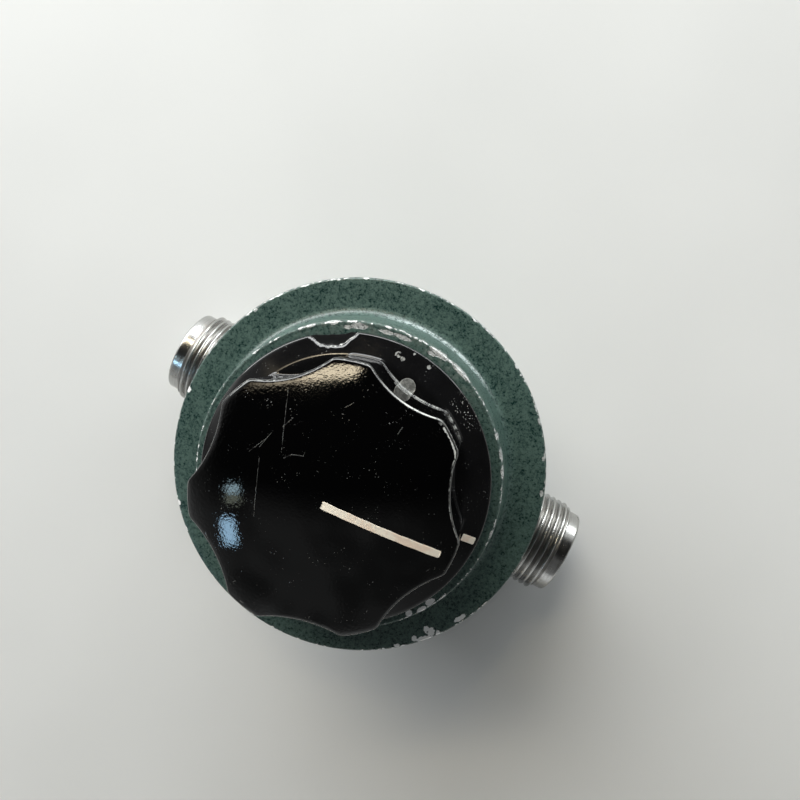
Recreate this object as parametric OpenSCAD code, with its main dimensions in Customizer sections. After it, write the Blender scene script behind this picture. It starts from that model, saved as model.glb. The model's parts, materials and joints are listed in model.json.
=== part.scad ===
/* [Housing] */
// Radius of the cylindrical body behind the flange
body_r = 21; // [20.5:0.1:21.5]
// Thickness of the body's wall
body_wall = 1.8; // [1.4:0.1:2]
// Radius of the round flange
flange_r = 28.3; // [27.5:0.1:30]
// Thickness of the flange
flange_t = 1.8; // [1.2:0.1:2.4]
// Height of the flange's front face above the rear cover's outer face
flange_z = 29.3; // [29.3:0.1:30]
// Radius of the front boss where it would meet the flange
boss_base_r = 22.7; // [22.2:0.1:23]
// Radius of the front boss at its top
boss_top_r = 21.6; // [21.2:0.1:22]
// Height of the front boss above the flange
boss_h = 9; // [8.8:0.1:9.4]
// Radius of the hollow between flange and boss
fillet_r = 1.4; // [0.8:0.1:1.8]
// Thickness of the front wall that carries the bushing
front_wall = 2.5; // [2:0.1:2.8]

/* [Rear cover] */
// Thickness of the rear cover
cover_t = 2.2; // [1.8:0.1:2.4]
// Thickness of the gasket under the cover
gasket_t = 0.4; // [0.3:0.1:0.6]
// Distance of the cover screws from the axis
cover_screw_pcd_r = 17; // [16.8:0.1:17.2]

/* [Connectors] */
// Height of the connectors' common axis
jack_z = 9; // [9:0.1:9.2]
// Distance from the main axis to each connector's tip
jack_tip = 36.9; // [36.5:0.1:38]
// Thread diameter, 5/8 inch
thread_d = 15.875; // [15.8:0.005:15.9]
// Thread pitch, 24 to the inch
thread_pitch = 1.058; // [1.05:0.002:1.06]
// Length of the thread
thread_len = 8.5; // [8:0.1:9]
// Radius of the smooth pilot nose ahead of the thread
pilot_r = 7.1; // [7:0.05:7.2]
// Length of the pilot nose
pilot_len = 2; // [1.6:0.1:2.2]
// Radius of the socket's inside wall
socket_r = 4.05; // [4:0.05:4.2]
// Radius of the centre contact
contact_r = 1.52; // [1.5:0.01:1.6]
// Radius of the hole in the centre contact
contact_bore_r = 0.83; // [0.8:0.01:0.9]

/* [Knob] */
// Radius of the knob's skirt
skirt_r = 20; // [19.5:0.1:20.6]
// Height of the skirt's underside above the boss
knob_gap = 1.6; // [1.2:0.1:2]
// Thickness of the skirt at its edge
skirt_edge = 1; // [0.6:0.1:1.2]
// Height of the skirt's cone, from its edge to the fluted wall
skirt_rise = 1.3; // [1:0.1:2]
// Radius of the fluted body over its lobes
knob_r = 16.8; // [16.4:0.1:17.2]
// Height of the fluted wall
knob_wall_h = 12.8; // [12.4:0.1:13.5]
// Rise of the domed face from its edge to its centre
dome_h = 3.35; // [2.5:0.05:3.6]
// Number of lobes
lobes = 7; // [6:1:8]
// Radius at the bottom of a scallop
valley_r = 14.93; // [14.6:0.01:15.4]
// Radius of the curve of a scallop
scallop_r = 13.5; // [12:0.5:15]
// Angle of the pointer from the right-hand connector, at rest
pointer_a = 3.6; // [0:0.1:8]
// Width of the pointer line
pointer_w = 0.95; // [0.7:0.05:1.2]

/* [Shaft and plates] */
// Diameter of the control shaft, 1/4 inch
shaft_d = 6.35; // [6.3:0.05:6.4]
// Radius of the rotor plates
rotor_r = 14; // [13:0.1:14.2]
// Number of rotor plates
rotor_count = 6; // [3:1:6]
// Thickness of a plate
plate_t = 0.5; // [0.4:0.05:0.6]
// Distance from one rotor plate to the next
plate_pitch = 1.9; // [1.8:0.05:1.9]
// Distance of the stator rods from the axis
rod_pcd_r = 16; // [15.8:0.1:16.2]
// Distance of the frame pillars from the axis
pillar_pcd_r = 17; // [16.8:0.1:17.2]

/* [Hidden] */
$fn = 96;
small_fn = 48;
cut = 0.5;
slip = 0.05;
play = 0.025;
edge = 0.3;
cavity_r = body_r - body_wall;
body_z = cover_t + gasket_t;
boss_z = flange_z + boss_h;
wall_z = boss_z - front_wall;
joint_z = flange_z - flange_t;

cover_screw_angles = [60, 120, 240, 300];
cover_screw_r = 1.2;
screw_head_r = 2.2;
screw_head_h = 1.3;
lug_r = 2.8;
lug_top = 10;

pad_x = 22.6;
pad_r = 9.2;
neck_r = 6.3;
neck_back = 16.5;
washer_t = 0.6;
hex_x = pad_x + washer_t;
hex_t = 2.4;
hex_af = 17.4;
thread_x = jack_tip - pilot_len - thread_len;
thread_r = thread_d / 2;
thread_depth = 0.6134 * thread_pitch;
thread_rings = floor(thread_len / thread_pitch);
socket_depth = 9.2;
ring_r = socket_r - 1;
step_r = 3.55;
step_x = 24.5;
rear_bore_r = 4.55;
retainer_t = 1.7;
contact_recess = 5;
contact_neck_r = 1;
contact_step_x = 26.5;
contact_back = 12;
contact_bore_len = 4.5;

plate_gauge = 1.6;
front_plate_z = wall_z - plate_gauge;
rear_plate_z = 16;
rear_plate_top = rear_plate_z + plate_gauge;
frame_plate_r = 18.6;
pillar_angles = [30, 150, 270];
pillar_r = 1.6;
pillar_screw_r = 1;
rod_angles = [225, 315];
rod_r = 0.9;
rod_back = 11.4;
rod_nut_z = 12.1;
bar_t = 2.6;
bar_w = 4.4;
bar_len = 26;
bar_y = rod_pcd_r * sin(225);
rear_bar_z = rear_plate_z - bar_t;
front_bar_z = front_plate_z - bar_t;
bar_screw_r = 1;
bar_head_h = 1.1;

shaft_r = shaft_d / 2;
hub_r = 4.4;
shaft_back = 18.3;
shaft_top = 52;
first_plate_z = 19.6;
stator_inner_r = 5;
stator_outer_r = 15.2;
ear_r = 1.9;
ball_r = 1.5;
ball_z = 17.75;
bearing_screw_r = 2.5;
bearing_screw_z = 12;
bearing_screw_top = 17.2;
bearing_nut_t = 2.1;
bearing_nut_af = 8;
stop_r = 8;
stop_t = 1;
stop_pin_r = 0.8;
stop_pin_pcd_r = 6.4;
stop_half_angle = 81.8;

bushing_r = 4.76;
bushing_flange_r = 7;
bushing_flange_t = 1.8;
bushing_top = 42.6;
lock_washer_t = 0.6;
nut_t = 2.2;
nut_af = 12.7;
clip_z = 31.2;
clip_t = 0.6;
groove_r = 2.5;
clip_gap = 2 * groove_r * 0.8;
thrust_z = 31.85;
thrust_t = 0.5;

knob_z = boss_z + knob_gap;
skirt_top = knob_z + skirt_edge;
flute_z = skirt_top + skirt_rise;
face_z = flute_z + knob_wall_h;
recess_r = 8;
recess_top = knob_z + 4.1;
insert_r = 5;
insert_top = 53;
set_screw_z = 48;
set_screw_r = 1.5;
set_screw_len = 5;
set_screw_angles = [for (k = [4, 5]) pointer_a + (k + 0.5) * 360 / lobes];
inlay = 0.5;
pointer_start = 0.3;
pointer_end = 15.1;
mark_start = 17.6;
mark_end = 19.7;

wiper_t = 0.3;
wiper_z = 30.1;
wiper_w = 0.9;
wiper_x = -9.8;
wiper_foot = 3.4;
wiper_foot_w = 2.8;
rivet_r = 0.7;
rivet_head_r = 1.2;

// A disc or tube standing on the axis
module tube(r, hole, z0, z1) {
    translate([0, 0, z0])
        difference() {
            cylinder(r = r, h = z1 - z0);
            translate([0, 0, -cut])
                cylinder(r = hole, h = z1 - z0 + 2 * cut);
        }
}

// A hexagonal nut standing on the axis
module hex_nut(af, hole, z0, z1) {
    translate([0, 0, z0])
        difference() {
            cylinder(d = af / cos(30), h = z1 - z0, $fn = 6);
            translate([0, 0, -cut])
                cylinder(r = hole, h = z1 - z0 + 2 * cut);
        }
}

// A screw or pin: a shank with a head below it
module headed(shank_r, head_r, z_head, z_seat, z_end) {
    translate([0, 0, z_seat])
        cylinder(r = shank_r, h = z_end - z_seat, $fn = small_fn);
    translate([0, 0, z_head])
        cylinder(r = head_r, h = z_seat - z_head, $fn = small_fn);
}

// Children copied to a radius at each of the angles
module around(angles, r) {
    for (a = angles)
        rotate([0, 0, a])
            translate([r, 0, 0])
                children();
}

// Children built along +Z, laid along the connector axis; side is 1 on the right and -1 on the left
module jack(side) {
    translate([0, 0, jack_z])
        rotate([0, 90 * side, 0])
            children();
}

// Slice of a disc from angle a0 to angle a1, less than a half turn
module slice(r, a0, a1) {
    far = 2 * r;
    mid = (a0 + a1) / 2;
    intersection() {
        circle(r = r);
        polygon([
            [0, 0],
            [far * cos(a0), far * sin(a0)],
            [far * cos(mid), far * sin(mid)],
            [far * cos(a1), far * sin(a1)]
        ]);
    }
}

// Height of the knob's domed face at radius r
function dome(r) = face_z + dome_h * (1 - pow(r / knob_r, 2));

// ---- Housing and cover ----

function fillet_points() = [
    for (a = [0:15:90])
        [boss_base_r + fillet_r * (1 - sin(a)), flange_z + fillet_r * (1 - cos(a))]
];

module front_profile() {
    polygon(concat(
        [
            [flange_r - edge, joint_z],
            [flange_r, joint_z + edge],
            [flange_r, flange_z - edge],
            [flange_r - edge, flange_z]
        ],
        fillet_points(),
        [
            [boss_top_r, boss_z - edge],
            [boss_top_r - edge, boss_z],
            [bushing_r + slip, boss_z],
            [bushing_r + slip, wall_z],
            [cavity_r, wall_z],
            [cavity_r, joint_z]
        ]
    ));
}

// Flange and boss in one piece, seated on the can's rim
module front_housing() {
    color([0.17, 0.29, 0.26])
        rotate_extrude()
            front_profile();
}

module can_profile() {
    polygon([
        [cavity_r, body_z],
        [body_r, body_z],
        [body_r, joint_z],
        [cavity_r, joint_z]
    ]);
}

module connector_pad() {
    translate([0, 0, cavity_r - 1])
        cylinder(r = pad_r, h = pad_x - cavity_r + 1);
}

module body_can() {
    color([0.17, 0.29, 0.26])
        difference() {
            union() {
                rotate_extrude()
                    can_profile();
                for (side = [-1, 1])
                    jack(side)
                        connector_pad();
                around(cover_screw_angles, cover_screw_pcd_r)
                    translate([0, 0, body_z])
                        cylinder(r = lug_r, h = lug_top - body_z, $fn = small_fn);
            }
            translate([0, 0, -2 * pad_r + body_z])
                cylinder(r = flange_r, h = 2 * pad_r);
            for (side = [-1, 1])
                jack(side)
                    translate([0, 0, neck_back - cut])
                        cylinder(r = neck_r + slip, h = pad_x - neck_back + 2 * cut);
            around(cover_screw_angles, cover_screw_pcd_r)
                translate([0, 0, body_z - cut])
                    cylinder(r = cover_screw_r + play, h = lug_top - body_z - 1, $fn = small_fn);
            difference() {
                translate([0, 0, body_z - cut])
                    cylinder(r = cavity_r, h = lug_top - body_z + pad_r);
                around(cover_screw_angles, cover_screw_pcd_r)
                    translate([0, 0, body_z - 2 * cut])
                        cylinder(r = lug_r, h = lug_top - body_z + 2 * cut, $fn = small_fn);
            }
        }
}

module rear_cover() {
    color([0.62, 0.63, 0.64])
        difference() {
            rotate_extrude()
                polygon([
                    [0, 0],
                    [body_r - edge, 0],
                    [body_r, edge],
                    [body_r, cover_t],
                    [0, cover_t]
                ]);
            around(cover_screw_angles, cover_screw_pcd_r) {
                translate([0, 0, -cut])
                    cylinder(r = cover_screw_r + slip, h = cover_t + 2 * cut, $fn = small_fn);
                translate([0, 0, -cut])
                    cylinder(r = screw_head_r + slip, h = screw_head_h + 0.2 + cut, $fn = small_fn);
            }
        }
}

module cover_gasket() {
    color([0.08, 0.08, 0.08])
        difference() {
            tube(body_r, cover_screw_pcd_r - lug_r, cover_t, body_z);
            around(cover_screw_angles, cover_screw_pcd_r)
                translate([0, 0, cover_t - cut])
                    cylinder(r = cover_screw_r + slip, h = gasket_t + 2 * cut, $fn = small_fn);
        }
}

module cover_screws() {
    color([0.72, 0.73, 0.74])
        around(cover_screw_angles, cover_screw_pcd_r)
            difference() {
                headed(cover_screw_r, screw_head_r, 0.2, screw_head_h + 0.2, lug_top - 2);
                translate([-screw_head_r - cut, -0.3, 0.2 - cut])
                    cube([2 * (screw_head_r + cut), 0.6, 0.5 + cut]);
            }
}

// ---- Connectors, drawn once and used on both sides ----

// One ring of the thread, from its root to its crest
module thread_ring(x) {
    flat = thread_pitch / 8;
    crest = thread_r;
    root = thread_r - thread_depth;
    rotate_extrude()
        polygon([
            [ring_r, x],
            [root, x],
            [crest, x + thread_pitch / 2 - flat],
            [crest, x + thread_pitch / 2 + flat],
            [root, x + thread_pitch],
            [ring_r, x + thread_pitch]
        ]);
}

module connector_shell(side) {
    root = thread_r - thread_depth;
    color([0.8, 0.8, 0.81])
        jack(side)
            difference() {
                union() {
                    translate([0, 0, neck_back])
                        cylinder(r = neck_r, h = hex_x - neck_back + 0.1);
                    rotate([0, 0, 30])
                        translate([0, 0, hex_x])
                            cylinder(d = hex_af / cos(30), h = hex_t, $fn = 6);
                    translate([0, 0, hex_x])
                        cylinder(r = root, h = jack_tip - pilot_len - hex_x);
                    for (i = [0:thread_rings - 1])
                        thread_ring(thread_x + i * thread_pitch);
                    rotate_extrude()
                        polygon([
                            [ring_r, jack_tip - pilot_len - 0.1],
                            [pilot_r, jack_tip - pilot_len - 0.1],
                            [pilot_r, jack_tip - edge],
                            [pilot_r - edge, jack_tip],
                            [ring_r, jack_tip]
                        ]);
                }
                translate([0, 0, jack_tip - socket_depth])
                    cylinder(r = socket_r, h = socket_depth + cut);
                translate([0, 0, step_x - cut])
                    cylinder(r = step_r, h = jack_tip - socket_depth - step_x + 2 * cut);
                translate([0, 0, neck_back - cut])
                    cylinder(r = rear_bore_r, h = step_x - neck_back + cut);
            }
}

// Toothed washer between the pad and the hexagon
module connector_washer(side) {
    color([0.6, 0.58, 0.52])
        jack(side)
            difference() {
                tube(pad_r - 0.4, neck_r + slip, pad_x, hex_x);
                for (a = [0:30:330])
                    rotate([0, 0, a])
                        translate([pad_r - 1.2, -0.35, pad_x - cut])
                            cube([2, 0.7, washer_t + 2 * cut]);
            }
}

module insulator(side) {
    front = jack_tip - socket_depth;
    color([0.93, 0.93, 0.9])
        jack(side)
            difference() {
                rotate_extrude()
                    polygon([
                        [contact_neck_r + play, neck_back + retainer_t],
                        [rear_bore_r - slip, neck_back + retainer_t],
                        [rear_bore_r - slip, step_x],
                        [step_r - slip, step_x],
                        [step_r - slip, front],
                        [contact_neck_r + play, front]
                    ]);
                translate([0, 0, contact_step_x])
                    cylinder(r = contact_r + play, h = front, $fn = small_fn);
            }
}

module insulator_retainer(side) {
    color([0.78, 0.62, 0.3])
        jack(side)
            difference() {
                tube(rear_bore_r - play, 2.6, neck_back, neck_back + retainer_t);
                translate([-rear_bore_r - cut, -0.4, neck_back - cut])
                    cube([2 * (rear_bore_r + cut), 0.8, 0.6 + cut]);
            }
}

module centre_contact(side) {
    tip = jack_tip - contact_recess;
    color([0.85, 0.7, 0.35])
        jack(side)
            difference() {
                union() {
                    translate([0, 0, contact_back])
                        cylinder(r = contact_neck_r, h = contact_step_x - contact_back + 0.1, $fn = small_fn);
                    translate([0, 0, contact_step_x])
                        cylinder(r = contact_r, h = tip - contact_step_x, $fn = small_fn);
                }
                translate([0, 0, tip - contact_bore_len])
                    cylinder(r = contact_bore_r, h = contact_bore_len + cut, $fn = small_fn);
                for (a = [0, 90])
                    rotate([0, 0, a])
                        translate([-contact_r - cut, -0.1, tip - 3.2])
                            cube([2 * (contact_r + cut), 0.2, 3.2 + cut]);
            }
}

// Strap joining both centre contacts to the stator rods
module coupling_strap() {
    strap_t = 0.6;
    low = jack_z - strap_t / 2;
    tag_t = 0.5;
    color([0.72, 0.42, 0.28])
        difference() {
            union() {
                translate([-contact_back, -2, low])
                    cube([2 * contact_back, 4, strap_t]);
                for (side = [-1, 1])
                    jack(side)
                        translate([0, 0, contact_back - 0.5])
                            cylinder(r = 1.6, h = 2.6, $fn = small_fn);
                translate([-2, bar_y - 1, low])
                    cube([4, -bar_y + 1, strap_t]);
                translate([-2, bar_y - 1, low])
                    cube([4, 0.6, rod_nut_z - low]);
                translate([bar_y, bar_y - 1, rod_nut_z - tag_t])
                    cube([-2 * bar_y, 2, tag_t]);
                around(rod_angles, rod_pcd_r)
                    translate([0, 0, rod_nut_z - tag_t])
                        cylinder(r = 1.7, h = tag_t, $fn = small_fn);
            }
            around(rod_angles, rod_pcd_r)
                translate([0, 0, rod_back - cut])
                    cylinder(r = rod_r + slip, h = 3, $fn = small_fn);
            for (side = [-1, 1])
                jack(side)
                    translate([0, 0, contact_back])
                        cylinder(r = contact_neck_r + play, h = 4, $fn = small_fn);
        }
}

// ---- Frame ----

module front_plate() {
    color([0.75, 0.76, 0.77])
        difference() {
            tube(frame_plate_r, bushing_r + slip, front_plate_z, wall_z);
            around(pillar_angles, pillar_pcd_r)
                translate([0, 0, front_plate_z - cut])
                    cylinder(r = pillar_screw_r + play, h = plate_gauge + 2 * cut, $fn = small_fn);
            around(rod_angles, rod_pcd_r)
                translate([0, 0, front_plate_z - cut])
                    cylinder(r = 2.2, h = plate_gauge + 2 * cut, $fn = small_fn);
            translate([0, bar_y, front_plate_z - cut])
                cylinder(r = bar_screw_r + play, h = plate_gauge + 2 * cut, $fn = small_fn);
            wiper_rivet_hole();
        }
}

module wiper_rivet_hole() {
    translate([wiper_x - 1.6, shaft_r + slip + wiper_foot_w / 2, wall_z - 4])
        cylinder(r = rivet_r + play, h = 4 + cut, $fn = small_fn);
}

module rear_plate() {
    color([0.75, 0.76, 0.77])
        difference() {
            tube(frame_plate_r, bearing_screw_r + play, rear_plate_z, rear_plate_top);
            around(pillar_angles, pillar_pcd_r)
                translate([0, 0, rear_plate_z - cut])
                    cylinder(r = pillar_screw_r + play, h = plate_gauge + 2 * cut, $fn = small_fn);
            around(rod_angles, rod_pcd_r)
                translate([0, 0, rear_plate_z - cut])
                    cylinder(r = 2.2, h = plate_gauge + 2 * cut, $fn = small_fn);
            translate([0, bar_y, rear_plate_z - cut])
                cylinder(r = bar_screw_r + play, h = plate_gauge + 2 * cut, $fn = small_fn);
            around([270], stop_pin_pcd_r)
                translate([0, 0, rear_plate_z - cut])
                    cylinder(r = stop_pin_r + play, h = plate_gauge + 2 * cut, $fn = small_fn);
            around([60, 120], 11)
                translate([0, 0, rear_plate_z - cut])
                    cylinder(r = 3, h = plate_gauge + 2 * cut, $fn = small_fn);
        }
}

// Pillars: staked into the front plate, drilled for a screw at the rear
module frame_pillars() {
    color([0.8, 0.7, 0.42])
        around(pillar_angles, pillar_pcd_r)
            difference() {
                union() {
                    translate([0, 0, rear_plate_top])
                        cylinder(r = pillar_r, h = front_plate_z - rear_plate_top, $fn = small_fn);
                    translate([0, 0, front_plate_z - 0.1])
                        cylinder(r = pillar_screw_r, h = plate_gauge + 0.1, $fn = small_fn);
                }
                translate([0, 0, rear_plate_top - cut])
                    cylinder(r = pillar_screw_r + play, h = 5 + cut, $fn = small_fn);
            }
}

module frame_screws() {
    color([0.72, 0.73, 0.74])
        around(pillar_angles, pillar_pcd_r)
            difference() {
                headed(pillar_screw_r, 1.7, rear_plate_z - 1.1, rear_plate_z, rear_plate_top + 4.5);
                translate([-2, -0.2, rear_plate_z - 1.1 - cut])
                    cube([4, 0.4, 0.5 + cut]);
            }
}

// Ceramic bar that carries the stator rods
module insulator_bar(z) {
    color([0.9, 0.88, 0.82])
        difference() {
            translate([-bar_len / 2, bar_y - bar_w / 2, z])
                cube([bar_len, bar_w, bar_t]);
            around(rod_angles, rod_pcd_r)
                translate([0, 0, z - cut])
                    cylinder(r = rod_r + play, h = bar_t + 2 * cut, $fn = small_fn);
            translate([0, bar_y, z - cut])
                cylinder(r = bar_screw_r + play, h = bar_t + 2 * cut, $fn = small_fn);
        }
}

module insulator_screws() {
    color([0.72, 0.73, 0.74])
        for (z = [rear_bar_z, front_bar_z])
            translate([0, bar_y, 0])
                difference() {
                    headed(bar_screw_r, 1.8, z - bar_head_h, z, z + bar_t + plate_gauge);
                    translate([-2, -0.2, z - bar_head_h - cut])
                        cube([4, 0.4, 0.4 + cut]);
                }
}

// ---- Stator ----

module stator_outline() {
    difference() {
        union() {
            slice(stator_outer_r, 182, 358);
            around(rod_angles, rod_pcd_r)
                circle(r = ear_r, $fn = small_fn);
        }
        circle(r = stator_inner_r);
        around(rod_angles, rod_pcd_r)
            circle(r = rod_r + play, $fn = small_fn);
    }
}

function stator_z(k) = first_plate_z + (k + 0.5) * plate_pitch;

module stator_plates() {
    color([0.82, 0.82, 0.8])
        for (k = [0:rotor_count - 2])
            translate([0, 0, stator_z(k)])
                linear_extrude(plate_t)
                    stator_outline();
}

// Rings on the rods: one below the first plate, one after each plate
module stator_spacers() {
    color([0.8, 0.7, 0.42])
        around(rod_angles, rod_pcd_r) {
            tube(1.5, rod_r + play, rear_plate_z, stator_z(0));
            for (k = [0:rotor_count - 3])
                tube(1.5, rod_r + play, stator_z(k) + plate_t, stator_z(k + 1));
            tube(1.5, rod_r + play, stator_z(rotor_count - 2) + plate_t, front_bar_z);
        }
}

module stator_rods() {
    color([0.8, 0.7, 0.42])
        around(rod_angles, rod_pcd_r)
            translate([0, 0, rod_back])
                cylinder(r = rod_r, h = wall_z - 0.3 - rod_back, $fn = small_fn);
}

// Nuts: under the rear bar and on the far side of the front bar
module stator_rod_nuts() {
    color([0.78, 0.66, 0.36])
        around(rod_angles, rod_pcd_r) {
            hex_nut(3.2, rod_r + play, rod_nut_z, rear_bar_z);
            hex_nut(3.2, rod_r + play, front_plate_z, wall_z - 0.5);
        }
}

// ---- Rotor ----

module shaft() {
    color([0.78, 0.78, 0.76])
        difference() {
            union() {
                translate([0, 0, shaft_back])
                    cylinder(r = shaft_r, h = clip_z - shaft_back);
                translate([0, 0, clip_z - 0.1])
                    cylinder(r = groove_r, h = clip_t + 0.25);
                translate([0, 0, clip_z + clip_t + play])
                    cylinder(r = shaft_r, h = shaft_top - edge - clip_z - clip_t - play);
                translate([0, 0, shaft_top - edge - 0.01])
                    cylinder(r1 = shaft_r, r2 = shaft_r - edge, h = edge + 0.01);
            }
            translate([0, 0, ball_z])
                sphere(r = ball_r + slip);
        }
}

module rotor_outline() {
    difference() {
        union() {
            slice(rotor_r, 2, 178);
            circle(r = hub_r);
        }
        circle(r = shaft_r + play);
    }
}

module rotor_plates() {
    color([0.84, 0.84, 0.82])
        for (k = [0:rotor_count - 1])
            translate([0, 0, first_plate_z + k * plate_pitch])
                linear_extrude(plate_t)
                    rotor_outline();
}

module rotor_spacers() {
    color([0.8, 0.7, 0.42])
        for (k = [0:rotor_count - 2]) {
            z = first_plate_z + k * plate_pitch;
            tube(hub_r, shaft_r + play, z + plate_t, z + plate_pitch);
        }
}

// Collar with a sector that meets the stop pin at both ends of the half turn
module stop_collar() {
    color([0.8, 0.7, 0.42])
        difference() {
            union() {
                translate([0, 0, shaft_back + slip])
                    cylinder(r = hub_r, h = first_plate_z - shaft_back - slip);
                translate([0, 0, shaft_back + slip])
                    linear_extrude(stop_t)
                        slice(stop_r, -stop_half_angle, stop_half_angle);
            }
            translate([0, 0, shaft_back - cut])
                cylinder(r = shaft_r + play, h = 4);
        }
}

module stop_pin() {
    color([0.7, 0.7, 0.7])
        around([270], stop_pin_pcd_r)
            translate([0, 0, rear_plate_z])
                cylinder(r = stop_pin_r, h = shaft_back + stop_t - rear_plate_z, $fn = small_fn);
}

module bearing_ball() {
    color([0.85, 0.85, 0.86])
        translate([0, 0, ball_z])
            sphere(r = ball_r);
}

module bearing_screw() {
    color([0.78, 0.66, 0.36])
        difference() {
            translate([0, 0, bearing_screw_z])
                cylinder(r = bearing_screw_r, h = bearing_screw_top - bearing_screw_z);
            translate([0, 0, ball_z])
                sphere(r = ball_r + play);
            translate([-4, -0.4, bearing_screw_z - cut])
                cube([8, 0.8, 0.8 + cut]);
        }
}

module bearing_lock_nut() {
    color([0.78, 0.66, 0.36])
        hex_nut(bearing_nut_af, bearing_screw_r + play, rear_plate_z - bearing_nut_t, rear_plate_z);
}

module shaft_bushing() {
    color([0.78, 0.66, 0.36])
        difference() {
            union() {
                translate([0, 0, front_plate_z - bushing_flange_t])
                    cylinder(r = bushing_flange_r, h = bushing_flange_t);
                translate([0, 0, front_plate_z - 0.1])
                    cylinder(r = bushing_r, h = bushing_top - front_plate_z + 0.1);
            }
            translate([0, 0, front_plate_z - 3])
                cylinder(r = shaft_r + slip, h = bushing_top);
        }
}

module bushing_lock_washer() {
    color([0.7, 0.7, 0.7])
        tube(6.2, bushing_r + slip, boss_z, boss_z + lock_washer_t);
}

module bushing_nut() {
    color([0.75, 0.75, 0.73])
        hex_nut(nut_af, bushing_r + slip, boss_z + lock_washer_t, boss_z + lock_washer_t + nut_t);
}

// Open ring in the shaft's groove
module retaining_clip() {
    color([0.5, 0.5, 0.52])
        translate([0, 0, clip_z])
            linear_extrude(clip_t)
                difference() {
                    circle(r = hub_r + 0.4);
                    circle(r = groove_r + play);
                    translate([-clip_gap / 2, 0])
                        square([clip_gap, 2 * hub_r]);
                }
}

module thrust_washer() {
    color([0.72, 0.6, 0.3])
        tube(5.2, shaft_r + play, thrust_z, thrust_z + thrust_t);
}

// Leaf that brushes the shaft, bent up to a foot on the front plate
module wiper_spring() {
    y = shaft_r + slip;
    color([0.75, 0.5, 0.3])
        difference() {
            union() {
                translate([wiper_x, y, wiper_z])
                    cube([-wiper_x + 2, wiper_t, wiper_w]);
                translate([wiper_x, y, wiper_z])
                    cube([wiper_t, wiper_foot_w, front_plate_z - wiper_z]);
                translate([wiper_x - wiper_foot + wiper_t, y, front_plate_z - wiper_t])
                    cube([wiper_foot, wiper_foot_w, wiper_t]);
            }
            wiper_rivet_hole();
        }
}

module wiper_rivet() {
    z = front_plate_z - wiper_t;
    color([0.78, 0.66, 0.36])
        translate([wiper_x - 1.6, shaft_r + slip + wiper_foot_w / 2, 0])
            headed(rivet_r, rivet_head_r, z - 0.6, z, wall_z);
}

// ---- Knob ----

// Fluted outline: a disc with a scallop cut between each pair of lobes
module fluted() {
    difference() {
        circle(r = knob_r);
        around([for (k = [0:lobes - 1]) pointer_a + (k + 0.5) * 360 / lobes], valley_r + scallop_r)
            circle(r = scallop_r);
    }
}

// Solid under the domed face, lowered by drop
module dome_solid(drop) {
    steps = 14;
    far = knob_r + 1;
    rotate_extrude()
        polygon(concat(
            [[0, flute_z - 1], [far, flute_z - 1]],
            [for (i = [steps:-1:0]) [far * i / steps, dome(far * i / steps) - drop]]
        ));
}

module pointer_slot() {
    rotate([0, 0, pointer_a])
        translate([pointer_start, -pointer_w / 2, face_z - 2])
            cube([pointer_end - pointer_start, pointer_w, dome_h + 3]);
}

module pointer_line() {
    color([0.93, 0.85, 0.78])
        difference() {
            intersection() {
                pointer_slot();
                dome_solid(0);
            }
            dome_solid(inlay);
        }
}

module skirt_profile(drop) {
    polygon([
        [0, knob_z],
        [skirt_r, knob_z],
        [skirt_r, skirt_top - drop],
        [knob_r, flute_z - drop],
        [0, flute_z - drop]
    ]);
}

module mark_slot() {
    rotate([0, 0, pointer_a])
        translate([mark_start, -pointer_w / 2, knob_z])
            cube([mark_end - mark_start, pointer_w, skirt_edge + skirt_rise + 1]);
}

module skirt_mark() {
    color([0.93, 0.85, 0.78])
        difference() {
            intersection() {
                mark_slot();
                rotate_extrude()
                    skirt_profile(0);
            }
            rotate_extrude()
                skirt_profile(inlay);
        }
}

module set_screw_bores(r) {
    for (a = set_screw_angles)
        rotate([0, 0, a])
            translate([shaft_r, 0, set_screw_z])
                rotate([0, 90, 0])
                    cylinder(r = r, h = knob_r, $fn = small_fn);
}

module knob() {
    color([0.02, 0.02, 0.02])
        difference() {
            union() {
                rotate_extrude()
                    skirt_profile(0);
                intersection() {
                    translate([0, 0, knob_z + cut])
                        linear_extrude(face_z + dome_h - knob_z)
                            fluted();
                    dome_solid(0);
                }
            }
            difference() {
                pointer_slot();
                dome_solid(inlay);
            }
            difference() {
                mark_slot();
                rotate_extrude()
                    skirt_profile(inlay);
            }
            translate([0, 0, knob_z - cut])
                cylinder(r = recess_r, h = recess_top - knob_z + cut);
            translate([0, 0, knob_z])
                cylinder(r = insert_r + play, h = insert_top - knob_z);
            set_screw_bores(set_screw_r + 0.3);
        }
}

module knob_insert() {
    color([0.78, 0.66, 0.36])
        difference() {
            tube(insert_r, shaft_r + play, recess_top, insert_top);
            set_screw_bores(set_screw_r + play);
        }
}

module knob_set_screws() {
    color([0.3, 0.3, 0.31])
        for (a = set_screw_angles)
            rotate([0, 0, a])
                translate([shaft_r + slip, 0, set_screw_z])
                    rotate([0, 90, 0])
                        difference() {
                            cylinder(r = set_screw_r, h = set_screw_len, $fn = small_fn);
                            translate([-0.25, -2, set_screw_len - 0.8])
                                cube([0.5, 4, 1]);
                        }
}

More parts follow.
